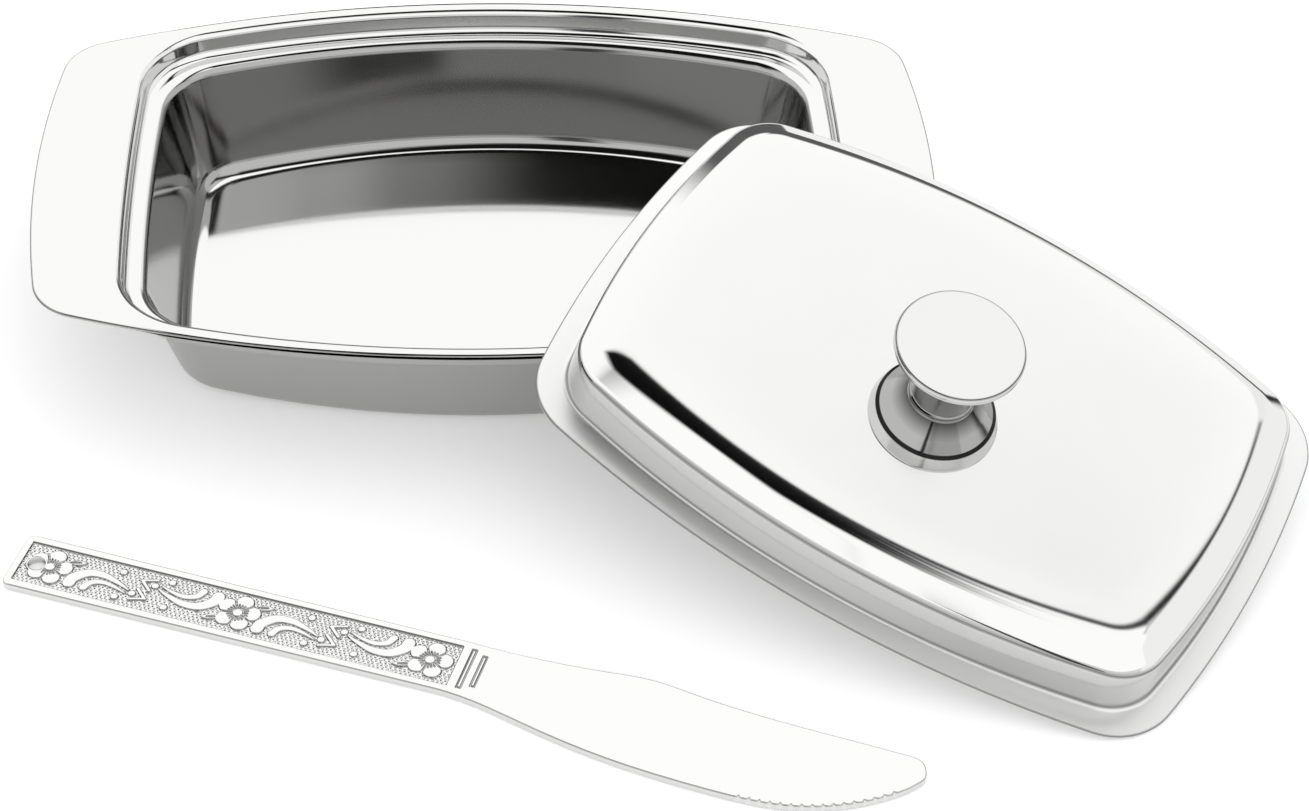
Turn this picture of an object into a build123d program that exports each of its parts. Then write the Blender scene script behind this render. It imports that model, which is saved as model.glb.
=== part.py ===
from build123d import *
import os

os.makedirs("parts", exist_ok=True)

# Stainless-steel butter dish with a lid and a butter knife. Millimetres.
# Origin: middle of the dish's flat underside, on the table. +Z up, +X along the dish,
# -Y towards the person using it. The lid leans on the dish and the knife lies in front.

# --- sheet and dish ---
sheet = 0.8
rim_height = 32.0
dish_rim = dict(half_length=100.0, half_width=61.4, end_bow=4.3, side_bow=16.4, corner=12.3)
opening = dict(half_length=79.6, half_width=58.2, end_bow=1.6, side_bow=12.2, corner=19.0)
ledge_drop = 5.6
ledge_width = 4.2
step_draft = 0.4
base_inset = 6.6
floor_radius = 7.0

# --- lid, in its own frame: z = 0 is the underside of its flange ---
lid_rim = dict(half_length=76.9, half_width=55.9, end_bow=4.4, side_bow=9.8, corner=15.6)
lid_flange_width = 5.2
lid_wall_draft = 1.0
lid_wall_height = 11.6
lid_bevel_width = 5.4
lid_bevel_height = 4.0
lid_shoulder_radius = 2.2
lid_position = (92.65, -69.8, 21.02)
lid_angles = (12.92, 6.83, -31.74)

# --- knob, standing on the lid's panel ---
knob_offset = (2.8, -10.6)
knob_foot_radius = 13.6
knob_crease_radius = 12.5
knob_crease_height = 3.2
knob_neck_radius = 6.4
knob_ring_radius = 7.0
knob_height = 26.4
knob_ring_height = 1.0
knob_ring_step = 0.4
knob_foot_edge = 0.6
neck_height = 8.4
flare_point = (8.9, 5.4)
flare_tangents = ((-1.0, 0.45), (-0.3, 1.0))
cap_radius = 13.5
cap_thickness = 3.0
cap_bevel = 0.8
cap_under_width = 1.6
cap_under_height = 1.5
cap_under_bulge = (0.2, 1.0)
spigot_radius = 4.0
spigot_length = 2.0
spigot_clearance = 0.3
bore_radius = 4.6
bore_depth = 14.0
insert_length = 12.0
insert_chamfer = 0.4
fit_gap = 0.03
screw_radius = 2.0
screw_length = 12.5
screw_tip_chamfer = 0.5
screw_hole_radius = 2.3
screw_head_radius = 3.6
screw_head_height = 2.4
screw_head_rounding = 1.4
cross_length = 4.4
cross_width = 0.9
cross_depth = 1.5
flat_washer_radius = 5.5
flat_washer_thickness = 0.8
spring_washer_radius = 3.6
spring_washer_thickness = 1.0
spring_washer_gap = 0.6
spring_washer_gap_angle = 25

# --- knife, in its own frame: x runs from the butt to the tip, y towards the spine ---
knife_position = (-98.7, -89.2)
knife_yaw = -19.1
knife_thickness = 1.8
handle_length = 98.0
handle_half_width = 7.4
handle_corner = 1.6
spine = [(98, 7.1), (112, 7.0), (126, 7.9), (136, 8.7), (146, 7.6), (163, 6.1), (180, 5.6), (190, 5.3)]
tip = [(190, 5.3), (194, 4.0), (195, 1.2), (192.6, -3.0)]
belly = [
    (192.6, -3.0),
    (184, -9.6),
    (172, -14.4),
    (154, -15.5),
    (134, -14.1),
    (116, -10.8),
    (104, -8.1),
    (94, -7.2),
]
notch_pitch = 2.1
notch_count = 16
notch_radius = 0.55
notch_outset = 0.1
notch_height = 1.2
first_notch = 3.0
panel_start = 1.6
panel_end = 97.2
panel_half_width = 5.6
panel_corner = 0.8
panel_depth = 0.3
relief_height = 0.27
hang_hole_x = 4.9
hang_hole_radius = 1.8
flower_spots = (8.4, 50.0, 91.6)
flower_eye = 0.9
petal_count = 5
petal_ring = 2.4
petal_size = (1.6, 1.15)
petal_turn = 18
scroll_spots = (28.5, 70.5)
scroll_shift = (8.0, 1.2)
scroll_size = (6.5, 1.9)
scroll_hollow = (4.6, 1.0)
scroll_bite = 1.6
scroll_lean = -12
bar_half_widths = {99.6: 5.3, 102.2: 4.2}
bar_width = 0.9
bar_shift = -0.1


def bowed(half_length, half_width, end_bow, side_bow, corner, inset=0.0):
    """A rectangle with bowed sides and rounded corners, moved in all round by inset."""
    x = half_length - end_bow - inset
    y = half_width - side_bow - inset
    with BuildSketch() as outline:
        with BuildLine():
            ThreePointArc((x, -y), (half_length - inset, 0), (x, y))
            ThreePointArc((x, y), (0, half_width - inset), (-x, y))
            ThreePointArc((-x, y), (-half_length + inset, 0), (-x, -y))
            ThreePointArc((-x, -y), (0, -half_width + inset), (x, -y))
        make_face()
        fillet(outline.vertices(), corner - 0.6 * inset)
    return outline.sketch


def edges_at(part, plane, height):
    """The edges of part that lie at one height above a plane."""
    found = []
    for edge in part.edges():
        heights = [plane.to_local_coords(edge @ t).Z for t in (0, 0.5, 1)]
        if max(abs(h - height) for h in heights) < 1e-3:
            found.append(edge)
    return found


# ============================== dish ==============================
table = Plane.XY
ledge_height = rim_height - ledge_drop
ledge_inset = step_draft + ledge_width
floor_inset = ledge_inset + base_inset

with BuildPart() as dish_cavity:
    with BuildSketch(table.offset(ledge_height)):
        add(bowed(**opening, inset=step_draft))
    with BuildSketch(table.offset(rim_height)):
        add(bowed(**opening))
    loft()
    with BuildSketch(table.offset(sheet)):
        add(bowed(**opening, inset=floor_inset))
    with BuildSketch(table.offset(ledge_height)):
        add(bowed(**opening, inset=ledge_inset))
    loft()
    fillet(edges_at(dish_cavity.part, table, sheet), floor_radius)

with BuildPart() as dish:
    with BuildSketch(table):
        add(bowed(**opening, inset=floor_inset - sheet))
    with BuildSketch(table.offset(ledge_height)):
        add(bowed(**opening, inset=ledge_inset - sheet))
    loft()
    fillet(edges_at(dish.part, table, 0), floor_radius + sheet)
    with BuildSketch(table.offset(ledge_height - sheet)):
        add(bowed(**opening, inset=step_draft - sheet))
    with BuildSketch(table.offset(rim_height - sheet)):
        add(bowed(**opening, inset=-sheet))
    loft()
    with BuildSketch(table.offset(rim_height - sheet)):
        add(bowed(**dish_rim))
    extrude(amount=sheet)
    add(dish_cavity.part, mode=Mode.SUBTRACT)
dish.part.label = "dish"
export_step(dish.part, "parts/dish.step")

# ============================== lid ==============================
lid_plane = Plane(Location(lid_position, lid_angles))
wall_inset = lid_flange_width
shoulder_inset = wall_inset + lid_wall_draft
panel_inset = shoulder_inset + lid_bevel_width
panel_height = lid_wall_height + lid_bevel_height
knob_plane = Plane(
    origin=lid_plane.from_local_coords((*knob_offset, panel_height)),
    x_dir=lid_plane.x_dir,
    z_dir=lid_plane.z_dir,
)

with BuildPart() as lid_cavity:
    with BuildSketch(lid_plane):
        add(bowed(**lid_rim, inset=wall_inset + sheet))
    with BuildSketch(lid_plane.offset(lid_wall_height - sheet)):
        add(bowed(**lid_rim, inset=shoulder_inset + sheet))
    loft()
    with BuildSketch(lid_plane.offset(lid_wall_height - sheet)):
        add(bowed(**lid_rim, inset=shoulder_inset + sheet))
    with BuildSketch(lid_plane.offset(panel_height - sheet)):
        add(bowed(**lid_rim, inset=panel_inset + sheet))
    loft()
    fillet(edges_at(lid_cavity.part, lid_plane, lid_wall_height - sheet), lid_shoulder_radius - sheet)

with BuildPart() as lid:
    with BuildSketch(lid_plane):
        add(bowed(**lid_rim, inset=wall_inset))
    with BuildSketch(lid_plane.offset(lid_wall_height)):
        add(bowed(**lid_rim, inset=shoulder_inset))
    loft()
    with BuildSketch(lid_plane.offset(lid_wall_height)):
        add(bowed(**lid_rim, inset=shoulder_inset))
    with BuildSketch(lid_plane.offset(panel_height)):
        add(bowed(**lid_rim, inset=panel_inset))
    loft()
    fillet(edges_at(lid.part, lid_plane, lid_wall_height), lid_shoulder_radius)
    with BuildSketch(lid_plane):
        add(bowed(**lid_rim))
    extrude(amount=sheet)
    add(lid_cavity.part, mode=Mode.SUBTRACT)
    with BuildSketch(knob_plane):
        Circle(screw_hole_radius)
    extrude(amount=-2 * sheet, mode=Mode.SUBTRACT)
lid.part.label = "lid"
export_step(lid.part, "parts/lid.step")

# ============================== knob ==============================
knob_axis = Axis(knob_plane.origin, knob_plane.z_dir)
knob_section = Plane(origin=knob_plane.origin, x_dir=knob_plane.x_dir, z_dir=-knob_plane.y_dir)
stem_height = knob_height - cap_thickness
ring_top = neck_height + knob_ring_height
spigot_floor = stem_height - spigot_length

with BuildPart() as knob_stem:
    with BuildSketch(knob_section):
        with BuildLine():
            Polyline(
                (bore_radius, 0),
                (knob_foot_radius, 0),
                (knob_foot_radius, knob_foot_edge),
                (knob_crease_radius, knob_crease_height),
            )
            Spline(
                (knob_crease_radius, knob_crease_height),
                flare_point,
                (knob_ring_radius, neck_height),
                tangents=flare_tangents,
            )
            Polyline(
                (knob_ring_radius, neck_height),
                (knob_ring_radius, ring_top),
                (knob_neck_radius, ring_top + knob_ring_step),
                (knob_neck_radius, stem_height),
                (spigot_radius, stem_height),
                (spigot_radius, spigot_floor - spigot_clearance),
                (0, spigot_floor - spigot_clearance),
                (0, bore_depth),
                (bore_radius, bore_depth),
                (bore_radius, 0),
            )
        make_face()
    revolve(axis=knob_axis)
knob_stem.part.label = "knob_stem"
export_step(knob_stem.part, "parts/knob_stem.step")

with BuildPart() as knob_cap:
    with BuildSketch(knob_section):
        with BuildLine():
            Polyline(
                (0, spigot_floor),
                (spigot_radius - fit_gap, spigot_floor),
                (spigot_radius - fit_gap, stem_height),
                (cap_radius - cap_under_width, stem_height),
                (cap_radius - cap_under_bulge[0], stem_height + cap_under_bulge[1]),
                (cap_radius, stem_height + cap_under_height),
                (cap_radius, knob_height - cap_bevel),
                (cap_radius - cap_bevel, knob_height),
                (0, knob_height),
                (0, spigot_floor),
            )
        make_face()
    revolve(axis=knob_axis)
knob_cap.part.label = "knob_cap"
export_step(knob_cap.part, "parts/knob_cap.step")

with BuildPart() as knob_insert:
    with BuildSketch(knob_plane):
        Circle(bore_radius - fit_gap)
        Circle(screw_radius + fit_gap, mode=Mode.SUBTRACT)
    extrude(amount=insert_length)
    chamfer(knob_insert.edges().filter_by(GeomType.CIRCLE).group_by(SortBy.RADIUS)[-1], insert_chamfer)
knob_insert.part.label = "knob_insert"
export_step(knob_insert.part, "parts/knob_insert.step")

# the screw, its washers and the lid's underside, counted down from the panel
flat_washer_top = -sheet
spring_washer_top = flat_washer_top - flat_washer_thickness
head_top = spring_washer_top - spring_washer_thickness

with BuildPart() as flat_washer:
    with BuildSketch(knob_plane.offset(flat_washer_top)):
        Circle(flat_washer_radius)
        Circle(screw_hole_radius, mode=Mode.SUBTRACT)
    extrude(amount=-flat_washer_thickness)
flat_washer.part.label = "flat_washer"
export_step(flat_washer.part, "parts/flat_washer.step")

with BuildPart() as spring_washer:
    with BuildSketch(knob_plane.offset(spring_washer_top)):
        Circle(spring_washer_radius)
        Circle(screw_hole_radius, mode=Mode.SUBTRACT)
        with Locations((spring_washer_radius, 0)):
            Rectangle(
                2 * spring_washer_radius,
                spring_washer_gap,
                rotation=spring_washer_gap_angle,
                mode=Mode.SUBTRACT,
            )
    extrude(amount=-spring_washer_thickness)
spring_washer.part.label = "spring_washer"
export_step(spring_washer.part, "parts/spring_washer.step")

with BuildPart() as knob_screw:
    with BuildSketch(knob_plane.offset(head_top)):
        Circle(screw_radius)
    extrude(amount=screw_length)
    chamfer(knob_screw.faces().sort_by(knob_axis)[-1].edges(), screw_tip_chamfer)
    with BuildSketch(knob_plane.offset(head_top)):
        Circle(screw_head_radius)
    extrude(amount=-screw_head_height)
    head_face = knob_screw.faces().sort_by(knob_axis)[0]
    fillet(head_face.edges(), screw_head_rounding)
    with BuildSketch(knob_plane.offset(head_top - screw_head_height)):
        Rectangle(cross_length, cross_width)
        Rectangle(cross_width, cross_length)
    extrude(amount=cross_depth, mode=Mode.SUBTRACT)
knob_screw.part.label = "knob_screw"
export_step(knob_screw.part, "parts/knob_screw.step")

# ============================== knife ==============================
knife_plane = Plane(Location((*knife_position, 0), (0, 0, knife_yaw)))
top_plane = knife_plane.offset(knife_thickness)
floor_plane = knife_plane.offset(knife_thickness - panel_depth)

with BuildPart() as butter_knife:
    with BuildSketch(knife_plane) as blank:
        with BuildLine():
            Line((0, -handle_half_width), (0, handle_half_width))
            Line((0, handle_half_width), spine[0])
            Spline(*spine)
            Spline(*tip, tangents=((1, -0.03), (-0.62, -0.8)))
            edge = Spline(*belly)
            Line(belly[-1], (0, -handle_half_width))
        make_face()
        fillet(blank.vertices().sort_by(Axis.X)[:2], handle_corner)
    extrude(amount=knife_thickness)
    with BuildSketch(top_plane):
        for k in range(notch_count):
            on_edge = first_notch + k * notch_pitch
            point = edge.position_at(on_edge, PositionMode.LENGTH)
            along = edge.tangent_at(on_edge, PositionMode.LENGTH)
            with Locations(point + Vector(-along.Y, along.X) * notch_outset):
                Circle(notch_radius)
    extrude(amount=-notch_height, mode=Mode.SUBTRACT)
    with BuildSketch(top_plane):
        with Locations(((panel_start + panel_end) / 2, 0)):
            RectangleRounded(panel_end - panel_start, 2 * panel_half_width, panel_corner)
    extrude(amount=-panel_depth, mode=Mode.SUBTRACT)
    with BuildSketch(floor_plane):
        for x in flower_spots:
            with Locations((x, 0)):
                Circle(flower_eye)
                with PolarLocations(petal_ring, petal_count, start_angle=petal_turn):
                    Ellipse(*petal_size)
        for middle in scroll_spots:
            for side in (-1, 1):
                with Locations((middle - scroll_shift[0] * side, scroll_shift[1] * side)):
                    Ellipse(*scroll_size, rotation=scroll_lean)
                    with Locations((0, scroll_bite * side)):
                        Ellipse(*scroll_hollow, rotation=scroll_lean, mode=Mode.SUBTRACT)
    extrude(amount=relief_height)
    with BuildSketch(floor_plane):
        for x, half in bar_half_widths.items():
            with Locations((x, bar_shift)):
                Rectangle(bar_width, 2 * half)
    extrude(amount=panel_depth, mode=Mode.SUBTRACT)
    with BuildSketch(knife_plane):
        with Locations((hang_hole_x, 0)):
            Circle(hang_hole_radius)
    extrude(amount=knife_thickness, mode=Mode.SUBTRACT)
butter_knife.part.label = "butter_knife"
export_step(butter_knife.part, "parts/butter_knife.step")
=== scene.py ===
import bmesh
import bpy
import math
import numpy as np
from mathutils import Matrix, Vector
from mathutils.geometry import delaunay_2d_cdt


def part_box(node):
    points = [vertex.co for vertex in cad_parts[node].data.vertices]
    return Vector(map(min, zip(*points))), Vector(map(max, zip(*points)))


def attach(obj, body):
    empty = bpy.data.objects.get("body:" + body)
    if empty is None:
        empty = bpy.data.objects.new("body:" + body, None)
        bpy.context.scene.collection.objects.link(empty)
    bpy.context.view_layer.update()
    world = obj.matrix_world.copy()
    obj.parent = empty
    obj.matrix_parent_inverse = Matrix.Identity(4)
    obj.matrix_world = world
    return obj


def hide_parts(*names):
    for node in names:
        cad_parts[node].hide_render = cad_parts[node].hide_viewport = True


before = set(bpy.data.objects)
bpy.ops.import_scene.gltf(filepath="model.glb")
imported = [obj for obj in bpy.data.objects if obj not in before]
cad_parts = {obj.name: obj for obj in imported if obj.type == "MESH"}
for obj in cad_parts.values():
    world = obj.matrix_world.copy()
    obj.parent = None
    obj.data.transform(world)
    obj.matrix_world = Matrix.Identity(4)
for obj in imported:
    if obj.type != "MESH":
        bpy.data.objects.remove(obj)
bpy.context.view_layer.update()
MM = 0.001
WELD = 2e-7  # points nearer than this, in metres, become one


# ---------------------------------------------------------------- shapes
def arc_points(centre, radius, start, end, count):
    """count points on an arc, without its last point."""
    angles = np.linspace(start, end, count + 1)[:-1]
    return np.c_[centre[0] + radius * np.cos(angles), centre[1] + radius * np.sin(angles)]


def bowed(half_length, half_width, end_bow, side_bow, corner, inset=0.0, counts=(24, 26, 40)):
    """A rectangle's outline with bowed sides and rounded corners; every inset gives matching points."""
    x = half_length - end_bow - inset
    y = half_width - side_bow - inset
    end_radius = (end_bow**2 + y**2) / (2 * end_bow)
    side_radius = (side_bow**2 + x**2) / (2 * side_bow)
    corner = corner - 0.6 * inset
    end_centre = np.array([half_length - inset - end_radius, 0.0])
    side_centre = np.array([0.0, half_width - inset - side_radius])
    a, b = side_radius - corner, end_radius - corner
    gap = end_centre - side_centre
    d = np.hypot(*gap)
    along = (a * a - b * b + d * d) / (2 * d)
    off = math.sqrt(max(a * a - along * along, 0.0))
    unit = gap / d
    options = [side_centre + along * unit + s * off * np.array([-unit[1], unit[0]]) for s in (1, -1)]
    centre = max(options, key=lambda c: c[0] + c[1])
    on_end = math.atan2(*(centre - end_centre)[::-1])
    on_side = math.atan2(*(centre - side_centre)[::-1])
    quarter = np.vstack([
        arc_points(end_centre, end_radius, 0.0, on_end, counts[0]),
        arc_points(centre, corner, on_end, on_side, counts[1]),
        arc_points(side_centre, side_radius, on_side, math.pi / 2, counts[2]),
    ])
    top = np.array([[0.0, half_width - inset]])
    left = (quarter * [-1, 1])[::-1]
    upper = np.vstack([quarter, top, left])
    return np.vstack([upper, (quarter[1:] * [-1, -1]), top * [1, -1], (quarter[1:] * [1, -1])[::-1]])


def rounded(points, steps=9):
    """A polyline of (x, z, radius) with each inner corner rounded."""
    out = [points[0][:2]]
    for before, here, after in zip(points, points[1:], points[2:]):
        p, radius = np.array(here[:2], float), here[2]
        u = np.array(before[:2], float) - p
        v = np.array(after[:2], float) - p
        lu, lv = np.hypot(*u), np.hypot(*v)
        u, v = u / lu, v / lv
        turn = math.acos(max(-1.0, min(1.0, float(u @ v))))
        if radius <= 0 or turn > math.pi - 1e-3:
            out.append(tuple(p))
            continue
        reach = min(radius / math.tan(turn / 2), 0.49 * lu, 0.49 * lv)
        radius = reach * math.tan(turn / 2)
        bisector = (u + v) / np.hypot(*(u + v))
        centre = p + bisector * radius / math.sin(turn / 2)
        first, last = p + u * reach - centre, p + v * reach - centre
        a0 = math.atan2(first[1], first[0])
        sweep = (math.atan2(last[1], last[0]) - a0 + math.pi) % (2 * math.pi) - math.pi
        for t in np.linspace(0, 1, steps):
            a = a0 + sweep * t
            out.append((centre[0] + radius * math.cos(a), centre[1] + radius * math.sin(a)))
    out.append(points[-1][:2])
    return out


def mesh_object(name, vertices, faces, place=None):
    """A smooth-shaded object made of vertices in millimetres; place is a matrix in metres."""
    mesh = bpy.data.meshes.new(name)
    points = np.asarray(vertices, float) * MM
    mesh.from_pydata(points.tolist(), [], faces)
    solid = bmesh.new()
    solid.from_mesh(mesh)
    bmesh.ops.remove_doubles(solid, verts=solid.verts, dist=WELD)
    bmesh.ops.recalc_face_normals(solid, faces=solid.faces)
    solid.to_mesh(mesh)
    solid.free()
    mesh.shade_smooth()
    made = bpy.data.objects.new(name, mesh)
    bpy.context.scene.collection.objects.link(made)
    if place is not None:
        mesh.transform(place)
    return made


def wall(rings):
    """The points of matching closed rings and the faces between them."""
    n = len(rings[0])
    faces = []
    for k in range(len(rings) - 1):
        for i in range(n):
            j = (i + 1) % n
            faces.append((k * n + i, k * n + j, (k + 1) * n + j, (k + 1) * n + i))
    return np.vstack(rings), faces


def skin(name, rings, caps, place=None, lines=None):
    """A closed skin over matching rings of points, with a point closing each end.

    lines gives some rings a painted darkness from 0 to 1: a painted dark line that stands in for the
    thin dark reflection along a polished edge.
    """
    n = len(rings[0])
    vertices, faces = wall(rings)
    for cap, start in zip(caps, (0, (len(rings) - 1) * n)):
        tip = len(vertices)
        vertices = np.vstack([vertices, [cap]])
        faces += [(start + i, start + (i + 1) % n, tip) for i in range(n)]
    made = mesh_object(name, vertices, faces, place)
    made.modifiers.new("even_shading", "WEIGHTED_NORMAL")
    # painted dark lines, one value per vertex, for the steel's colour
    values = np.zeros(len(vertices))
    for ring, value in (lines or {}).items():
        values[ring * n:(ring + 1) * n] = value
    mark(made, "line", values)
    return made


def mark(thing, name, values):
    """Write one number per vertex, for the materials to read."""
    attribute = thing.data.attributes.new(name, "FLOAT", "POINT")
    attribute.data.foreach_set("value", np.asarray(values, np.float32))


def near(value, middle, width):
    """1 at a value, fading to 0 at a distance of width."""
    return max(0.0, 1 - abs(value - middle) / width)


def at(outline, z):
    """A flat outline lifted to a height, which may be one number or one per point."""
    return np.c_[outline, np.full(len(outline), 1.0) * z]


# ---------------------------------------------------------------- where the CAD pieces are
def own_axes(node):
    """The long, middle and short directions of a CAD node's surface, as rows, and its vertices."""
    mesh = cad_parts[node].data
    mesh.calc_loop_triangles()
    co = np.array([v.co for v in mesh.vertices], float)
    triangles = np.array([t.vertices for t in mesh.loop_triangles], int)
    p = co[triangles]
    area = 0.5 * np.linalg.norm(np.cross(p[:, 1] - p[:, 0], p[:, 2] - p[:, 0]), axis=1)
    middle = (p.mean(1) * area[:, None]).sum(0) / area.sum()
    q = p - middle
    total = q.sum(1)
    share = area / 12
    moment = np.einsum("n,nki,nkj->ij", share, q, q) + np.einsum("n,ni,nj->ij", share, total, total)
    vectors = np.linalg.eigh(moment)[1]
    return vectors[:, ::-1].T, co


def on_lid(point):
    """A point of the scene in the lid's own frame, in millimetres."""
    return np.array(lid_place.inverted() @ point) / MM


def top_height(node):
    """The highest point of a node above the underside of the lid's flange, in millimetres."""
    return max(on_lid(v.co)[2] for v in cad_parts[node].data.vertices)


(long_way, cross_way, up), lid_points = own_axes("lid")
cap_low, cap_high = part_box("knob_cap")
knob_middle = np.array((cap_low + cap_high) / 2)
if up @ (knob_middle - lid_points.mean(0)) < 0:
    up = -up
if long_way[0] < 0:
    long_way = -long_way
cross_way = np.cross(up, long_way)
lid_axes = np.array([long_way, cross_way, up]).T
local = lid_points @ lid_axes
low, high = local.min(0), local.max(0)
lid_origin = lid_axes @ [(low[0] + high[0]) / 2, (low[1] + high[1]) / 2, low[2]]
lid_place = Matrix.Identity(4)
for row in range(3):
    for column in range(3):
        lid_place[row][column] = lid_axes[row, column]
    lid_place[row][3] = lid_origin[row]
lid_half_length, lid_half_width, lid_height = (high - low) / MM / [2, 2, 1]
knob_local = on_lid(Vector(knob_middle))

dish_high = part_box("dish")[1]
rim = dish_high.z / MM
sheet = 0.8
edge = sheet / 2

# ---------------------------------------------------------------- dish
dish_rim = dict(
    half_length=dish_high.x / MM,
    half_width=61.4,
    end_bow=4.3,
    side_bow=16.4,
    corner=12.3,
)
opening = dict(half_length=79.6, half_width=58.2, end_bow=1.6, side_bow=12.2, corner=19.0)
roll = 3.2
ledge = rim - 5.6
ledge_start, ledge_end = 0.5, 4.6
wall_foot, floor_start = 11.2, 18.0
under_roll = roll + 0.4
# how dark the painted line round the dish's rim edge is, ring by ring: a painted dark reflection
edge_painted_dark = (0.55, 0.8, 0.6)


def pull(outline, inset):
    return bowed(**outline, inset=inset)


def rim_edge(outline, top, count=9):
    """Rings round a bare sheet edge, from the upper face to the lower one."""
    rings = []
    for angle in np.linspace(math.pi / 2, -math.pi / 2, count):
        inset = edge - edge * math.cos(angle)
        rings.append(at(pull(outline, inset), top - edge + edge * math.sin(angle)))
    return rings


def dish_skin():
    inside = rounded([
        (-roll, rim, 0),
        (0.0, rim, roll),
        (ledge_start, ledge, 1.9),
        (ledge_end, ledge, 3.0),
        (wall_foot, sheet, 7.0),
        (floor_start, sheet, 0),
    ])
    outside = rounded([
        (-under_roll, rim - sheet, 0),
        (-sheet, rim - sheet, 0.7),
        (ledge_start - sheet, ledge - sheet, 1.6),
        (ledge_end - sheet, ledge - sheet, 0.6),
        (wall_foot - sheet, 0.0, 7.8),
        (floor_start, 0.0, 0),
    ])
    rim_middle = pull(dish_rim, edge)
    rings = [at(pull(opening, floor_start) * k, sheet) for k in (0.25, 0.5, 0.75)]
    rings += [at(pull(opening, x), z) for x, z in inside[::-1]]
    upper = pull(opening, -roll)
    rings += [at(upper * (1 - s) + rim_middle * s, rim) for s in (0.15, 0.35, 0.55, 0.75, 0.9)]
    # painted dark reflection line round the rim's edge
    lines = {len(rings) + 1 + k: dark for k, dark in enumerate(edge_painted_dark)}
    rings += rim_edge(dish_rim, rim)
    lower = pull(opening, -under_roll)
    rings += [at(lower * (1 - s) + rim_middle * s, rim - sheet) for s in (0.9, 0.6, 0.3)]
    rings += [at(pull(opening, x), z) for x, z in outside]
    rings += [at(pull(opening, floor_start) * k, 0.0) for k in (0.75, 0.5, 0.25)]
    return skin("dish_shell", rings, ((0, 0, sheet), (0, 0, 0)), lines=lines)


dish = dish_skin()

# ---------------------------------------------------------------- lid
lid_rim = dict(
    half_length=lid_half_length,
    half_width=lid_half_width,
    end_bow=4.4,
    side_bow=9.8,
    corner=15.6,
)
panel_z = lid_height
foot_inset, shoulder_inset, fold_inset, panel_inset = 5.2, 6.2, 11.6, 17.0
shoulder_height = 11.6
panel_shares = (0.2, 0.4, 0.6, 0.8, 0.93)
panel_dullness = (1.0, 1.0, 1.0, 0.95, 0.85, 0.7, 0.6, 0.5, 0.35, 0.2, 0.1)
# how dark the painted line round the lid's flange edge is, ring by ring: a painted dark reflection
lid_edge_painted_dark = (0.5, 0.8, 0.6)


# painted shade and painted dark reflection lines at the lid's creases
def lid_painted_crease_lines(x, z):
    """Painted dark lines along the lid's shoulder and along the foot of its wall, standing in for shade
    and dark reflections in those creases.
    """
    shoulder = 0.8 * near(z, 11.2, 0.7)
    foot = 0.8 * near(z, 1.3, 0.5) * (x > foot_inset - 0.9)
    return max(shoulder, foot)


def lid_skin():
    outer = rounded([
        (panel_inset, panel_z, 0),
        (fold_inset, panel_z, 8.0),
        (shoulder_inset, shoulder_height, 2.6),
        (foot_inset, sheet, 1.0),
        (edge, sheet, 0),
    ])
    inner = rounded([
        (edge, 0.0, 0),
        (foot_inset + sheet, 0.0, 1.4),
        (shoulder_inset + sheet, shoulder_height - 0.5, 1.8),
        (fold_inset + 0.3, panel_z - sheet, 6.0),
        (panel_inset, panel_z - sheet, 0),
    ])
    middle = pull(lid_rim, panel_inset)
    rings = [at(middle * k, panel_z) for k in panel_shares]
    # painted dark lines along the shoulder and the wall's foot
    lines = {len(rings) + k: lid_painted_crease_lines(x, z) for k, (x, z) in enumerate(outer)}
    rings += [at(pull(lid_rim, x), z) for x, z in outer]
    # painted dark reflection line round the flange's edge
    lines.update({len(rings) + k: dark for k, dark in enumerate(lid_edge_painted_dark)})
    rings += rim_edge(lid_rim, sheet)[1:-1]
    rings += [at(pull(lid_rim, x), z) for x, z in inner]
    rings += [at(middle * k, panel_z - sheet) for k in (0.8, 0.6, 0.4, 0.2)]
    caps = ((0, 0, panel_z), (0, 0, panel_z - sheet))
    made = skin("lid_shell", rings, caps, lid_place, lines)
    around = len(middle)
    satin = np.zeros(len(made.data.vertices))
    for k, dullness in enumerate(panel_dullness):
        satin[k * around:(k + 1) * around] = dullness
    satin[-2] = 1.0  # the middle of the panel
    mark(made, "satin", satin)
    return made


lid = lid_skin()

# ---------------------------------------------------------------- knob
def lathe(name, profile, place, dark, count=160):
    """A turned piece from a list of (radius, height); dark gives the painted darkness at each place on
    it, painted shade and painted dark reflection lines.
    """
    angles = np.linspace(0, 2 * math.pi, count, endpoint=False)
    circle = np.c_[np.cos(angles), np.sin(angles)]
    rings = [at(circle * max(r, 0.01), z) for r, z in profile]
    lines = {k: dark(r, z) for k, (r, z) in enumerate(profile)}
    return skin(name, rings, ((0, 0, profile[0][1]), (0, 0, profile[-1][1])), place, lines)


knob_place = lid_place @ Matrix.Translation(Vector((knob_local[0], knob_local[1], panel_z)) * MM)
knob_top = top_height("knob_cap") - panel_z
cap_thickness = 3.0
stem_top = knob_top - cap_thickness
foot_radius, crease_radius, crease_height = 13.6, 12.4, 3.3
neck_radius, neck_height, collar_radius = 7.0, 8.4, 6.4
cap_radius = 13.5


def cap_painted_lines(r, z):
    """Painted dark lines round the cap: a painted reflection line along its top edge and painted shade
    under its rim.
    """
    top_edge = near(r, cap_radius - 0.34, 0.22) * (z > knob_top - 0.25)
    return max(top_edge, 0.9 * near(z, stem_top + 0.9, 0.35))


def stem_painted_shade(r, z):
    """Painted shade in the crease round the foot, painted dark lines on the steps under the cap and
    painted shade on the collar.
    """
    crease = float(abs(r - crease_radius + 0.15) < 0.4 and abs(z - crease_height) < 0.45)
    steps = max(near(z, neck_height + 0.95, 0.25), near(z, neck_height - 0.1, 0.2))
    return max(crease, 0.9 * steps, 0.5 * (z > neck_height + 1.4))


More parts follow.
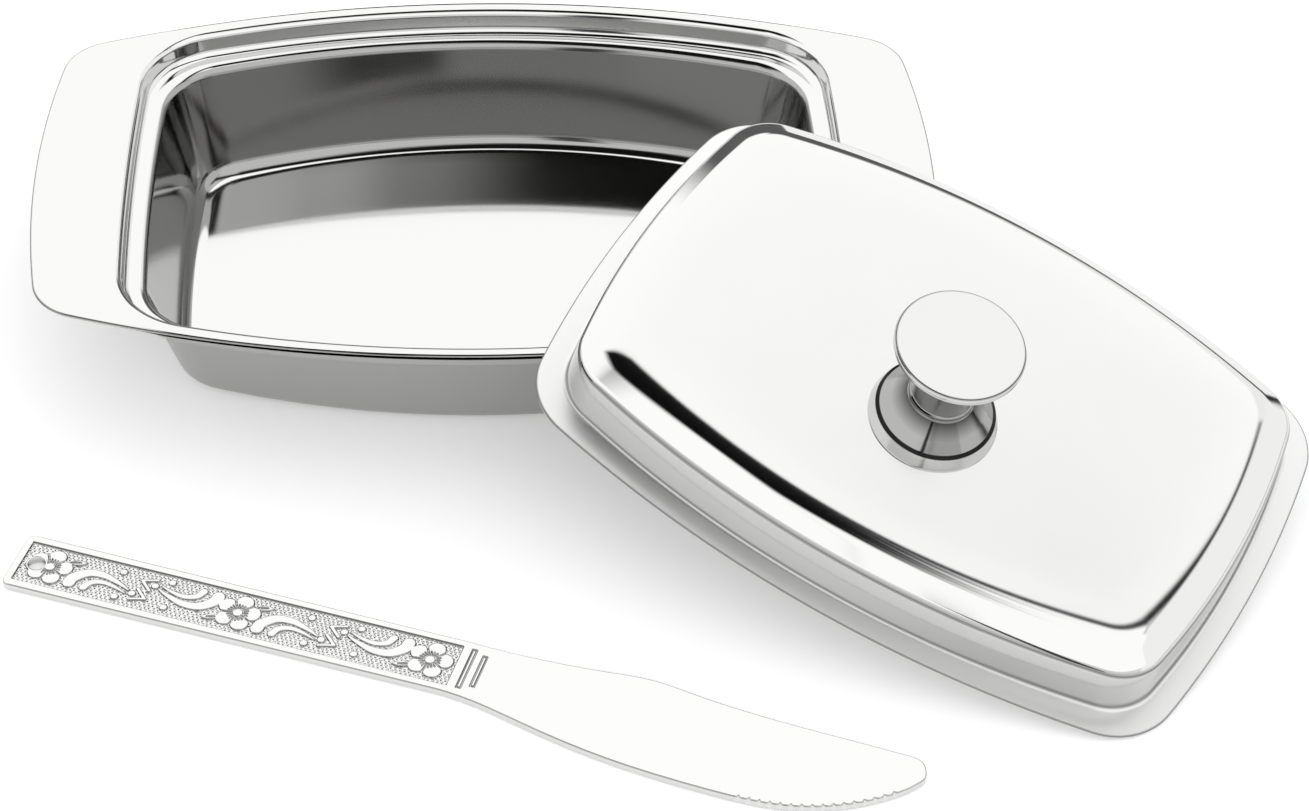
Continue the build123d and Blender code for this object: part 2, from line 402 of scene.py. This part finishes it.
cap = lathe("knob_cap_turned", rounded([
    (0, knob_top, 0),
    (10.0, knob_top, 0),
    (cap_radius - 0.72, knob_top, 0),
    (cap_radius - 0.3, knob_top, 0.35),
    (cap_radius, knob_top - 0.6, 0.4),
    (cap_radius, knob_top - 1.6, 0.5),
    (cap_radius - 0.7, stem_top + 0.9, 0.3),
    (cap_radius - 2.2, stem_top, 0.5),
    (8.0, stem_top, 0),
    (0, stem_top, 0),
], 9), knob_place, cap_painted_lines)
stem = lathe("knob_stem_turned", rounded([
    (0, stem_top - 0.05, 0),
    (collar_radius, stem_top - 0.05, 0),
    (collar_radius, neck_height + 1.5, 0.3),
    (collar_radius + 0.1, neck_height + 1.2, 0.1),
    (neck_radius, neck_height + 1.0, 0.2),
    (neck_radius, neck_height, 0.4),
    (crease_radius - 2.5, 5.6, 14.0),
    (crease_radius - 0.62, crease_height + 0.5, 0),
    (crease_radius - 0.5, crease_height + 0.38, 0),
    (crease_radius - 0.1, crease_height + 0.1, 0),
    (crease_radius + 0.15, crease_height - 0.05, 0),
    (crease_radius + 0.25, crease_height - 0.15, 0),
    (foot_radius, 0.7, 3.0),
    (foot_radius, 0.0, 0),
    (0, 0.0, 0),
], 12), knob_place, stem_painted_shade)
for piece in (cap, stem):
    piece.visible_glossy = False

# ---------------------------------------------------------------- knife
knife_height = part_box("butter_knife")[1].z / MM
hang_hole_radius = 1.8
panel_box = (1.6, 97.2, -5.6, 5.6)
panel_depth = 0.42
motif_top = -0.03
bump_height = 0.17
flower_spots = (7.9, 49.8, 91.7)
flower_reach = 6
block_spots = (28.9, 70.65)
block_reach = 21
bars = ((99.6, 5.3), (102.2, 4.2))
bar_half_width, bar_middle, bar_line, bar_depth = 0.42, -0.1, 0.13, 0.3
line_slope = 0.24


def knife_outline():
    """The outline of the CAD knife's underside and the middle of its hole, in millimetres."""
    solid = bmesh.new()
    solid.from_mesh(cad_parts["butter_knife"].data)
    bmesh.ops.remove_doubles(solid, verts=solid.verts, dist=1e-6)
    follow = {}
    for line in solid.edges:
        flat = [all(v.co.z < 1e-6 for v in face.verts) for face in line.link_faces]
        if len(flat) == 2 and flat[0] != flat[1]:
            i, j = line.verts
            follow.setdefault(i, []).append(j)
            follow.setdefault(j, []).append(i)
    loops = []
    left = dict.fromkeys(follow)
    while left:
        here = next(iter(left))
        before, loop = None, []
        while here in left:
            del left[here]
            loop.append(tuple(here.co.xy / MM))
            before, here = here, [v for v in follow[here] if v is not before][0]
        loops.append(np.array(loop))
    solid.free()
    outline = max(loops, key=lambda p: np.ptp(p[:, 0]))
    hole = min(loops, key=lambda p: np.ptp(p[:, 0]))
    return outline, hole.mean(0)


def area_of(loop):
    after = np.roll(loop, -1, axis=0)
    return 0.5 * np.sum(loop[:, 0] * after[:, 1] - after[:, 0] * loop[:, 1])


def even(loop, spacing):
    """The closed loop resampled at an even spacing."""
    closed = np.vstack([loop, loop[:1]])
    along = np.r_[0, np.cumsum(np.hypot(*np.diff(closed, axis=0).T))]
    count = int(along[-1] / spacing)
    at_length = np.arange(count) * along[-1] / count
    return np.c_[np.interp(at_length, along, closed[:, 0]), np.interp(at_length, along, closed[:, 1])]


def inwards(loop):
    """The inward unit normals of a counter-clockwise loop, slightly evened out."""
    along = np.roll(loop, -2, axis=0) - np.roll(loop, 2, axis=0)
    normal = np.c_[-along[:, 1], along[:, 0]]
    normal /= np.linalg.norm(normal, axis=1)[:, None]
    return normal


def smooth_step(t):
    t = np.clip(t, 0, 1)
    return t * t * (3 - 2 * t)


def plateau(distance, slope_width=0.3):
    """1 inside a shape and 0 outside, from the distance to its edge, negative inside."""
    return smooth_step(0.5 - distance / slope_width)


def stroke(points, line, radii):
    """Distance to a smooth line whose half-width changes along it, negative inside."""
    line, radii = np.array(line, float), np.array(radii, float)
    t = np.linspace(0, len(line) - 1, 12 * (len(line) - 1) + 1)
    fine = np.c_[[spline_values(line[:, k], t) for k in (0, 1)]].T
    wide = np.interp(t, np.arange(len(line)), radii)
    best = np.full(len(points), 99.0)
    for p, q, r0, r1 in zip(fine, fine[1:], wide, wide[1:]):
        d = q - p
        u = np.clip(((points - p) @ d) / (d @ d), 0, 1)
        gap = np.linalg.norm(points - p - u[:, None] * d, axis=1) - (r0 + (r1 - r0) * u)
        best = np.minimum(best, gap)
    return best


def spline_values(values, t):
    """A smooth curve through values at 0, 1, 2 ..., read at t."""
    padded = np.r_[2 * values[0] - values[1], values, 2 * values[-1] - values[-2]]
    k = np.clip(t.astype(int), 0, len(values) - 2)
    u = t - k
    p0, p1, p2, p3 = padded[k], padded[k + 1], padded[k + 2], padded[k + 3]
    return p1 + 0.5 * u * (p2 - p0 + u * (2 * p0 - 5 * p1 + 4 * p2 - p3 + u * (3 * (p1 - p2) + p3 - p0)))


def disc(points, centre, radius):
    return np.hypot(points[:, 0] - centre[0], points[:, 1] - centre[1]) - radius


def half_block(p):
    """One half of the pattern between two flowers: scrolls, a leaf, dots and a chevron."""
    big_line = [(-15.5, -2.9), (-15.1, -1.3), (-12.6, 0.85), (-9.0, 1.15), (-5.0, -0.1), (-2.9, -1.1)]
    small_line = [(-12.1, -3.3), (-11.2, -1.6), (-8.9, -0.75), (-6.0, -1.15), (-3.3, -2.1)]
    big = stroke(p, big_line, [1.4, 1.35, 1.15, 0.9, 0.5, 0.25])
    small = stroke(p, small_line, [0.9, 0.8, 0.7, 0.5, 0.25])
    leaf = np.maximum(disc(p, (-15.3, 0.3), 3.3), disc(p, (-16.6, 5.2), 3.3))
    vein = stroke(p, [(-18.0, 2.2), (-16.3, 2.7), (-15.2, 3.0)], [0.12, 0.16, 0.08])
    chevron = stroke_corner(p, [(1.9, 3.3), (-1.2, 2.35), (1.2, 0.1)], 0.42)
    height = np.maximum.reduce([plateau(big), plateau(leaf) - 0.8 * plateau(vein), plateau(chevron)])
    crossing = plateau(np.abs(big) - 0.06) * plateau(small + 0.1)
    height = np.maximum(height, plateau(small)) - 0.85 * crossing
    for spot in ((-5.8, 3.35), (-1.9, -1.7), (-5.0, -3.6)):
        height = np.maximum(height, plateau(disc(p, spot, 0.85)))
    return height


def stroke_corner(points, line, radius):
    """Distance to a line with sharp corners and one half-width."""
    best = np.full(len(points), 99.0)
    for p, q in zip(np.array(line, float), np.array(line[1:], float)):
        d = q - p
        u = np.clip(((points - p) @ d) / (d @ d), 0, 1)
        best = np.minimum(best, np.linalg.norm(points - p - u[:, None] * d, axis=1) - radius)
    return best


def flower(p, petals=5, ring=2.95, petal=1.95, core=1.9, eye=1.2, turn=9):
    """A five-petalled flower with lines between the petals and short lines round its eye."""
    radius, angle = np.hypot(*p.T), np.arctan2(p[:, 1], p[:, 0]) - math.radians(turn)
    sector = 2 * math.pi / petals
    off = (angle + sector / 2) % sector - sector / 2
    across, along = radius * np.sin(off), radius * np.cos(off)
    height = plateau(np.hypot(along - ring, across) - petal)
    height = np.maximum(height, plateau(radius - core))
    between_petals = radius * np.sin(np.abs(np.abs(off) - sector / 2))
    height *= 1 - 0.9 * plateau(np.maximum(between_petals - 0.14, eye - radius))
    for side in (-1, 0, 1):
        past_ends = np.maximum(np.abs(along - 1.75) - 0.32, 0)
        beside = np.hypot(across - side * 0.55 * along / 1.7, past_ends)
        height *= 1 - 0.8 * plateau(beside - 0.13, line_slope)
    height *= 1 - 0.85 * plateau(np.abs(radius - eye) - 0.12, line_slope)
    return height


def stipple(p, pitch=(0.98, 0.84)):
    """Fine round bumps in shifted rows, seeded so that they are the same each run."""
    row = np.round(p[:, 1] / pitch[1])
    shift = 0.5 * (row % 2)
    column = np.round(p[:, 0] / pitch[0] - shift)
    wobble = np.sin(column * 12.9898 + row * 78.233) * 43758.5453
    wobble = wobble - np.floor(wobble)
    x = (column + shift + 0.25 * (wobble - 0.5)) * pitch[0]
    y = (row + 0.25 * (0.5 - wobble)) * pitch[1]
    gap = np.hypot(p[:, 0] - x, p[:, 1] - y)
    return smooth_step(1.15 - gap / 0.42)


def relief(p):
    """Height of the knife's upper face below its own top, in its own frame."""
    x0, x1, y0, y1 = panel_box
    inside = np.minimum.reduce([p[:, 0] - x0, x1 - p[:, 0], p[:, 1] - y0, y1 - p[:, 1]])
    motif = np.zeros(len(p))
    for x in flower_spots:
        here = np.abs(p[:, 0] - x) < flower_reach
        motif[here] = np.maximum(motif[here], flower(p[here] - [x, 0]))
    for x in block_spots:
        here = np.abs(p[:, 0] - x) < block_reach
        q = p[here] - [x, 0]
        both = np.maximum(half_block(q), half_block(-q))
        motif[here] = np.maximum(motif[here], both)
    rim_of_hole = plateau(disc(p, hang_hole, hang_hole_radius + 0.5))
    motif = np.maximum(motif, rim_of_hole)
    ground = -panel_depth + bump_height * stipple(p) * (1 - smooth_step(motif * 2))
    height = ground + (motif_top - ground) * np.clip(motif, 0, 1)
    height *= smooth_step(inside / 0.22)
    for x, half_length in bars:
        beyond_side = np.abs(p[:, 0] - x) - bar_half_width
        beyond_end = np.abs(p[:, 1] - bar_middle) - half_length
        outline_gap = np.abs(np.maximum(beyond_side, beyond_end))
        height -= bar_depth * plateau(outline_gap - bar_line, line_slope)
    return height


def knife_frame(outline, hole_middle):
    """The knife's own axes: x from the butt to the tip along the handle's edges, y to the spine."""
    sides = np.roll(outline, -1, axis=0) - outline
    lengths = np.hypot(*sides.T)
    first, second = sides[np.argsort(lengths)[-2:]]
    second = second * np.sign(first @ second)
    along = first / np.hypot(*first) + second / np.hypot(*second)
    along = along / np.hypot(*along) * np.sign(along[0])
    across = np.array([-along[1], along[0]])
    butt = (outline @ along).min()
    origin = along * butt + across * (hole_middle @ across)
    return origin, along, across


outline, hole_middle = knife_outline()
if area_of(outline) < 0:
    outline = outline[::-1]
knife_origin, knife_x, knife_y = knife_frame(outline, hole_middle)
knife_axes = np.array([knife_x, knife_y]).T
hang_hole = (hole_middle - knife_origin) @ knife_axes
outline = even((outline - knife_origin) @ knife_axes, 0.3)
inward = inwards(outline)
knife_place = Matrix.Identity(4)
for row in range(2):
    knife_place[row][0], knife_place[row][1] = knife_x[row], knife_y[row]
    knife_place[row][3] = knife_origin[row] * MM

# notches ground into the top of the belly, counted back from the tip
notch_count, notch_pitch, notch_depth, first_notch = 16, 2.1, 0.55, 3.0
notch_half_width = 0.5
belly_tip = (192.6, -3.0)
belly_start = np.argmin(np.hypot(*(outline - belly_tip).T))
back = np.roll(outline, -belly_start, axis=0)[::-1]
steps_back = np.diff(np.vstack([outline[belly_start], back]), axis=0)
from_tip = np.r_[0, np.cumsum(np.hypot(*steps_back.T))[:-1]]
from_tip = np.roll(from_tip[::-1], belly_start)
notch = np.zeros(len(outline))
for k in range(notch_count):
    gap = np.abs(from_tip - first_notch - k * notch_pitch)
    notch = np.maximum(notch, 1 - gap / notch_half_width)


def edge_ring(inset, z):
    """The knife's outline at a height, with the notches in its upper part."""
    depth = inset + notch_depth * notch * smooth_step((z - 0.5) / 0.3)
    return at(outline + inward * depth[:, None], z)


top_round, hole_round = 0.32, 0.2
under_edge = ((0.25, 0.0), (0.08, 0.08), (0.0, 0.25), (0.0, 0.5), (0.0, 0.8))
knife_rings = [edge_ring(inset, z) for inset, z in under_edge]
for angle in np.linspace(0, math.pi / 2, 7):
    inset = top_round * (1 - math.cos(angle))
    knife_rings.append(edge_ring(inset, knife_height - top_round * (1 - math.sin(angle))))
turns = np.linspace(0, 2 * math.pi, 64, endpoint=False)
circle = np.c_[np.cos(turns), np.sin(turns)]
hole_rings = []
for angle in np.linspace(0, math.pi / 2, 5):
    r = hang_hole_radius + hole_round * (1 - math.sin(angle))
    hole_rings.append(at(hang_hole + circle * r, knife_height - hole_round * (1 - math.cos(angle))))
hole_rings.append(at(hang_hole + circle * hang_hole_radius, 0.0))


def inside_loop(points, loop):
    """Which points lie inside a closed loop."""
    x, y = points[:, 0], points[:, 1]
    result = np.zeros(len(points), bool)
    for (x0, y0), (x1, y1) in zip(loop, np.roll(loop, -1, axis=0)):
        cross = (y0 > y) != (y1 > y)
        result ^= cross & (x < (x1 - x0) * (y - y0) / (y1 - y0 + 1e-30) + x0)
    return result


def sheet_between(outer, hole, extra, height, upwards=True):
    """A triangulated sheet with a hole, through extra points, lifted to a height at each point."""
    points = np.vstack([outer, hole, extra])
    loops = [(i, (i + 1) % len(outer)) for i in range(len(outer))]
    start = len(outer)
    loops += [(start + i, start + (i + 1) % len(hole)) for i in range(len(hole))]
    result = delaunay_2d_cdt([Vector(p) for p in points], loops, [], 0, 1e-6, False)
    flat = np.array([tuple(v) for v in result[0]])
    faces = np.array([tuple(f) for f in result[2]])
    middle = flat[faces].mean(1)
    keep = np.hypot(*(middle - hang_hole).T) > hole_limit(hole)
    check = keep & (faces.min(1) < start)
    keep[check] = inside_loop(middle[check], outer)
    faces = faces[keep]
    if not upwards:
        faces = faces[:, ::-1]
    return np.c_[flat, height(flat)], [tuple(int(i) for i in f) for f in faces]


def hole_limit(hole):
    """A radius just inside the many-sided hole."""
    return np.hypot(*(hole[0] - hang_hole)) * math.cos(math.pi / len(hole)) * 0.999


grid_step = 0.11
relief_start, relief_end, relief_side = 1.0, 103.4, 6.2
grid_x, grid_y = np.meshgrid(
    np.arange(relief_start, relief_end, grid_step),
    np.arange(-relief_side, relief_side, grid_step),
)
grid = np.c_[grid_x.ravel(), grid_y.ravel()]
grid = grid[np.hypot(*(grid - hang_hole).T) > hang_hole_radius + 0.28]
top_outer, top_hole = knife_rings[-1][:, :2], hole_rings[0][:, :2]
top_vertices, top_faces = sheet_between(top_outer, top_hole, grid, lambda p: knife_height + relief(p))
low_outer, low_hole = knife_rings[0][:, :2], hole_rings[-1][:, :2]
no_points = np.zeros((0, 2))
low_vertices, low_faces = sheet_between(low_outer, low_hole, no_points, lambda p: 0.0 * p[:, 0], False)


def in_relief(points):
    """Which points lie in the handle's part that carries the relief."""
    x, y = points[:, 0], points[:, 1]
    return (x > relief_start) & (x < relief_end) & (np.abs(y) < relief_side)


def edge_painted_line(points):
    """How dark the knife's rounded top edge is painted: a thin painted dark reflection line part of the
    way down it.
    """
    down = knife_height - points[:, 2]
    return 0.75 * np.clip(1 - np.abs(down - 0.14) / 0.13, 0, 1) * ~in_relief(points)


def relief_painted_outline(points, reach=0.09):
    """How dark the relief is painted: only its steep walls are, a painted shade that outlines the
    motifs.
    """
    slope = np.zeros(len(points))
    on_top = points[:, 2] > knife_height - 0.6
    flat = points[on_top, :2]
    for way in ((reach, 0.0), (0.0, reach)):
        slope[on_top] += ((relief(flat + way) - relief(flat - way)) / (2 * reach)) ** 2
    return 0.85 * np.where(in_relief(points), np.clip((np.sqrt(slope) - 0.55) / 0.6, 0, 1), 0.0)


def knife_mesh():
    """The knife from its edge, its hole, its pressed upper face and its flat lower face."""
    vertices, faces = np.zeros((0, 3)), []
    top, low = (top_vertices, top_faces), (low_vertices, low_faces)
    for part_vertices, part_faces in (wall(knife_rings), wall(hole_rings), top, low):
        start = len(vertices)
        vertices = np.vstack([vertices, part_vertices])
        faces += [tuple(i + start for i in f) for f in part_faces]
    made = mesh_object("butter_knife_pressed", vertices, faces)
    points = np.array([v.co for v in made.data.vertices]) / MM
    # painted shade outlining the relief and a painted dark reflection line along the top edge
    mark(made, "line", np.maximum(relief_painted_outline(points), edge_painted_line(points)))
    made.data.transform(knife_place)
    made.modifiers.new("even_shading", "WEIGHTED_NORMAL")
    return made


knife = knife_mesh()

for piece, node, body, finish in (
    (dish, "dish", "dish", "dish"),
    (lid, "lid", "lid", "lid"),
    (cap, "knob_cap", "lid", "knob"),
    (stem, "knob_stem", "lid", "knob"),
    (knife, "butter_knife", "butter_knife", "knife"),
):
    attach(piece, body)
    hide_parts(node)
fasteners = ("knob_insert", "knob_screw", "spring_washer", "flat_washer")


# ---------------------------------------------------------------- materials
def new_material(name):
    material = bpy.data.materials.new(name)
    material.use_nodes = True
    nodes, links = material.node_tree.nodes, material.node_tree.links
    return material, nodes, links, nodes["Principled BSDF"]


def polished_steel(name, tone, rough, smear=0.03, grain=0.0, satin=0.0):
    """Polished stainless with a faint smear, fine scratches and a very slight waviness.

    The "line" attribute darkens the steel towards black, for painted shade and painted dark reflection
    lines, and the "satin" attribute dulls it, by up to satin.
    """
    material, nodes, links, shader = new_material(name)
    shader.inputs["Metallic"].default_value = 1.0
    where = nodes.new("ShaderNodeTexCoord")
    cloud = nodes.new("ShaderNodeTexNoise")
    cloud.inputs["Scale"].default_value = 38
    cloud.inputs["Detail"].default_value = 5
    links.new(where.outputs["Object"], cloud.inputs["Vector"])
    stretch = nodes.new("ShaderNodeMapping")
    stretch.inputs["Scale"].default_value = (30, 900, 900)
    links.new(where.outputs["Object"], stretch.inputs["Vector"])
    scratches = nodes.new("ShaderNodeTexNoise")
    scratches.inputs["Scale"].default_value = 1.0
    scratches.inputs["Detail"].default_value = 3
    links.new(stretch.outputs["Vector"], scratches.inputs["Vector"])
    both = nodes.new("ShaderNodeMix")
    both.inputs["Factor"].default_value = 0.35
    links.new(cloud.outputs["Fac"], both.inputs["A"])
    links.new(scratches.outputs["Fac"], both.inputs["B"])
    spread = nodes.new("ShaderNodeMapRange")
    spread.inputs["From Min"].default_value = 0.3
    spread.inputs["From Max"].default_value = 0.7
    spread.inputs["To Min"].default_value = rough
    spread.inputs["To Max"].default_value = rough + smear
    links.new(both.outputs["Result"], spread.inputs["Value"])
    # painted shade and painted dark reflection lines, read from the line attribute
    dark_line = nodes.new("ShaderNodeAttribute")
    dark_line.attribute_name = "line"
    shade = nodes.new("ShaderNodeMix")
    shade.data_type = "RGBA"
    shade.inputs["A"].default_value = (*tone, 1)
    shade.inputs["B"].default_value = (0.015, 0.015, 0.015, 1)
    links.new(dark_line.outputs["Fac"], shade.inputs["Factor"])
    links.new(shade.outputs["Result"], shader.inputs["Base Color"])
    dulled = nodes.new("ShaderNodeAttribute")
    dulled.attribute_name = "satin"
    total = nodes.new("ShaderNodeMath")
    total.operation = "MULTIPLY_ADD"
    total.inputs[1].default_value = satin
    links.new(dulled.outputs["Fac"], total.inputs[0])
    links.new(spread.outputs["Result"], total.inputs[2])
    links.new(total.outputs[0], shader.inputs["Roughness"])
    wave = nodes.new("ShaderNodeTexNoise")
    wave.inputs["Scale"].default_value = 16
    wave.inputs["Detail"].default_value = 1
    links.new(where.outputs["Object"], wave.inputs["Vector"])
    bump = nodes.new("ShaderNodeBump")
    bump.inputs["Strength"].default_value = 0.25
    bump.inputs["Distance"].default_value = 0.0002
    links.new(wave.outputs["Fac"], bump.inputs["Height"])
    fine = nodes.new("ShaderNodeBump")
    fine.inputs["Strength"].default_value = 0.02 + grain
    fine.inputs["Distance"].default_value = 0.00002
    links.new(scratches.outputs["Fac"], fine.inputs["Height"])
    links.new(bump.outputs["Normal"], fine.inputs["Normal"])
    links.new(fine.outputs["Normal"], shader.inputs["Normal"])
    return material


def paint(thing, *materials):
    thing.data.materials.clear()
    for material in materials:
        thing.data.materials.append(material)


dish_steel = polished_steel("dish_steel", (0.67, 0.67, 0.66), 0.06)
# a darker copy of the steel for the walls of the dish's well: painted shade
well_shaded_steel = polished_steel("well_shaded_steel", (0.33, 0.33, 0.322), 0.09)
# a darker, rougher copy for the dish's outer wall: a real satin finish, with painted shade in its darker
# tone
satin_shaded_steel = polished_steel("satin_shaded_steel", (0.40, 0.40, 0.395), 0.28)
lid_steel = polished_steel("lid_steel", (0.68, 0.68, 0.675), 0.045, satin=0.17)
# a darker copy for the lid's wall: painted shade
wall_shaded_steel = polished_steel("lid_wall_steel", (0.58, 0.58, 0.575), 0.1)
# a brighter, rougher copy for the top of the lid's flange: painted light
flange_lit_steel = polished_steel("lid_flange_steel", (0.8, 0.8, 0.795), 0.34)
# a darker copy for the knob's stem: painted shade
stem_shaded_steel = polished_steel("stem_shaded_steel", (0.33, 0.33, 0.325), 0.07)
knob_steel = polished_steel("knob_steel", (0.63, 0.63, 0.62), 0.045)
knife_steel = polished_steel("knife_steel", (0.69, 0.69, 0.685), 0.05)
plain_steel = polished_steel("fastener_steel", (0.62, 0.62, 0.61), 0.3, grain=0.1)
paint(dish, dish_steel, well_shaded_steel, satin_shaded_steel)
# the outer wall gets the darker satin copy (satin finish and painted shade), the well's walls the darker
# painted-shade copy; the rim and the floor stay polished
for face in dish.data.polygons:
    height = face.center.z / MM
    if height < rim - edge:
        inside = face.normal.z > 0.05 or face.normal.xy.dot(face.center.xy) < 0
        bottom = face.normal.z > 0.9 and height < 0.5 * ledge
        if not inside:
            face.material_index = 2
        elif not bottom and height <= ledge - 0.6:
            face.material_index = 1
paint(lid, lid_steel, wall_shaded_steel, flange_lit_steel)
# the lid's wall gets the darker painted-shade copy and the flange's top the brighter painted-light copy
for face in lid.data.polygons:
    height = on_lid(face.center)[2]
    facing_up = up @ np.array(face.normal)
    if abs(facing_up) < 0.3 and 1.5 < height < 10.5:
        face.material_index = 1
    elif facing_up > 0.5 and height < 1.5:
        face.material_index = 2
paint(cap, knob_steel)
paint(stem, stem_shaded_steel, knob_steel)
# the stem is the darker painted-shade copy, except its foot below the crease, which is the knob's own
# steel
for face in stem.data.polygons:
    if on_lid(face.center)[2] - panel_z < crease_height - 0.16:
        face.material_index = 1
paint(knife, knife_steel)
for node in fasteners:
    paint(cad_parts[node], plain_steel)

# ---------------------------------------------------------------- stage
bpy.ops.mesh.primitive_plane_add(size=8, location=(0, 0, -0.00005))
floor = bpy.context.object
floor.name = "floor"
white, _, _, shader = new_material("floor_white")
shader.inputs["Emission Color"].default_value = (1, 1, 1, 1)
shader.inputs["Emission Strength"].default_value = 0.22
shader.inputs["Base Color"].default_value = (0.93, 0.93, 0.93, 1)
shader.inputs["Roughness"].default_value = 0.7
paint(floor, white)

world = bpy.data.worlds.new("studio")
bpy.context.scene.world = world
world.use_nodes = True
nodes, links = world.node_tree.nodes, world.node_tree.links
nodes.clear()
out = nodes.new("ShaderNodeOutputWorld")
sky = nodes.new("ShaderNodeBackground")
links.new(sky.outputs[0], out.inputs["Surface"])


def math_node(kind, a, b=None):
    node = nodes.new("ShaderNodeMath")
    node.operation = kind
    for slot, value in ((0, a), (1, b)):
        if value is None:
            continue
        if isinstance(value, (int, float)):
            node.inputs[slot].default_value = value
        else:
            links.new(value, node.inputs[slot])
    return node.outputs[0]


def step(value, low_edge, high_edge):
    """0 below low_edge, 1 above high_edge, smooth between."""
    node = nodes.new("ShaderNodeMapRange")
    node.interpolation_type = "SMOOTHSTEP"
    node.inputs["From Min"].default_value = low_edge
    node.inputs["From Max"].default_value = high_edge
    links.new(value, node.inputs["Value"])
    return node.outputs["Result"]


def inverse(value):
    return math_node("SUBTRACT", 1.0, value)


def between(value, low_edge, high_edge, soft):
    """1 between two edges, fading to 0 outside them."""
    rise = step(value, low_edge - soft, low_edge + soft)
    return math_node("MULTIPLY", rise, inverse(step(value, high_edge - soft, high_edge + soft)))


def panel_light(strength, x_range, y_range, z_range, soft=0.04):
    """A soft-edged bright patch of the studio, as a box of directions."""
    inside = math_node("MULTIPLY", between(dx, *x_range, soft), between(dy, *y_range, soft))
    inside = math_node("MULTIPLY", inside, between(dz, *z_range, soft))
    return math_node("MULTIPLY", inside, strength)


where = nodes.new("ShaderNodeTexCoord")
split = nodes.new("ShaderNodeSeparateXYZ")
links.new(where.outputs["Generated"], split.inputs[0])
dx, dy, dz = split.outputs

# what the steel sees: bright panels with dark gaps between them, each a box of directions
bright, darkness = 1.42, 0.004
seen = math_node("MULTIPLY", 1.0, darkness)
for light in (
    # above and behind, with a gap that narrows to the right
    panel_light(bright, (-1.1, 0.62), (0.2, 1.1), (0.4, 1.1), 0.05),
    panel_light(bright, (-1.1, -0.3), (0.3, 1.1), (0.1, 1.1), 0.05),
    panel_light(bright, (-0.4, -0.06), (0.3, 0.86), (0.1, 1.1), 0.05),
    panel_light(bright, (-0.4, 0.1), (0.3, 1.1), (0.32, 1.1), 0.04),
    panel_light(1.2, (0.28, 1.1), (0.3, 0.86), (0.12, 1.1), 0.05),
    # the dim back wall
    panel_light(0.14, (-1.1, 1.1), (0.8, 1.1), (-0.2, 0.4), 0.05),
    # above and in front, in steps that leave a curved dark gap
    panel_light(bright, (-1.1, -0.27), (-1.1, -0.3), (0.42, 1.1), 0.06),
    panel_light(bright, (-0.34, 0.8), (-1.1, -0.44), (0.42, 1.1), 0.06),
    panel_light(bright, (0.01, 0.8), (-1.1, -0.35), (0.42, 1.1), 0.09),
    panel_light(bright, (0.09, 0.8), (-1.1, -0.24), (0.42, 1.1), 0.08),
    panel_light(bright, (0.14, 0.8), (-1.1, -0.1), (0.42, 1.1), 0.05),
    panel_light(bright, (0.22, 0.7), (-1.1, 0.04), (0.42, 1.1), 0.05),
    # the left side, the right side and the front
    panel_light(bright, (-1.1, -0.5), (-0.5, 0.4), (0.2, 1.1), 0.1),
    panel_light(1.25, (0.7, 1.1), (-0.7, 0.7), (0.04, 0.85)),
    panel_light(0.95, (-1.1, 1.1), (-1.1, -0.3), (-0.2, 0.42), 0.04),
):
    seen = math_node("MAXIMUM", seen, light)
# a dark post in front, a little to the left
post = math_node("MULTIPLY", between(dx, -0.2, -0.11, 0.02), inverse(step(dy, -0.74, -0.68)))
post = math_node("MULTIPLY", post, inverse(step(dz, 0.62, 0.68)))
seen = math_node("MULTIPLY", seen, inverse(math_node("MULTIPLY", post, 0.95)))
# only mirror-like rays see those panels; the rest of the light is even and white
ray = nodes.new("ShaderNodeLightPath")
mix = nodes.new("ShaderNodeMix")
links.new(ray.outputs["Is Glossy Ray"], mix.inputs["Factor"])
mix.inputs["A"].default_value = 1.06
links.new(seen, mix.inputs["B"])
links.new(mix.outputs["Result"], sky.inputs["Strength"])
sky.inputs["Color"].default_value = (1, 1, 1, 1)

# ---------------------------------------------------------------- camera
camera_data = bpy.data.cameras.new("camera")
camera = bpy.data.objects.new("camera", camera_data)
bpy.context.scene.collection.objects.link(camera)
camera_data.sensor_width = 36
camera_data.lens = 90.76
forward = Vector((0.04245, 0.72304, -0.68951)).normalized()
right = Vector((0.99904, -0.03838, 0.02127))
right = (right - forward * right.dot(forward)).normalized()
top = right.cross(forward)
turn = Matrix((right, top, -forward)).transposed().to_4x4()
camera.matrix_world = Matrix.Translation((0.00561, -0.56983, 0.50195)) @ turn
camera_data.clip_start = 0.01
bpy.context.scene.camera = camera
bpy.context.scene.view_settings.view_transform = "Standard"
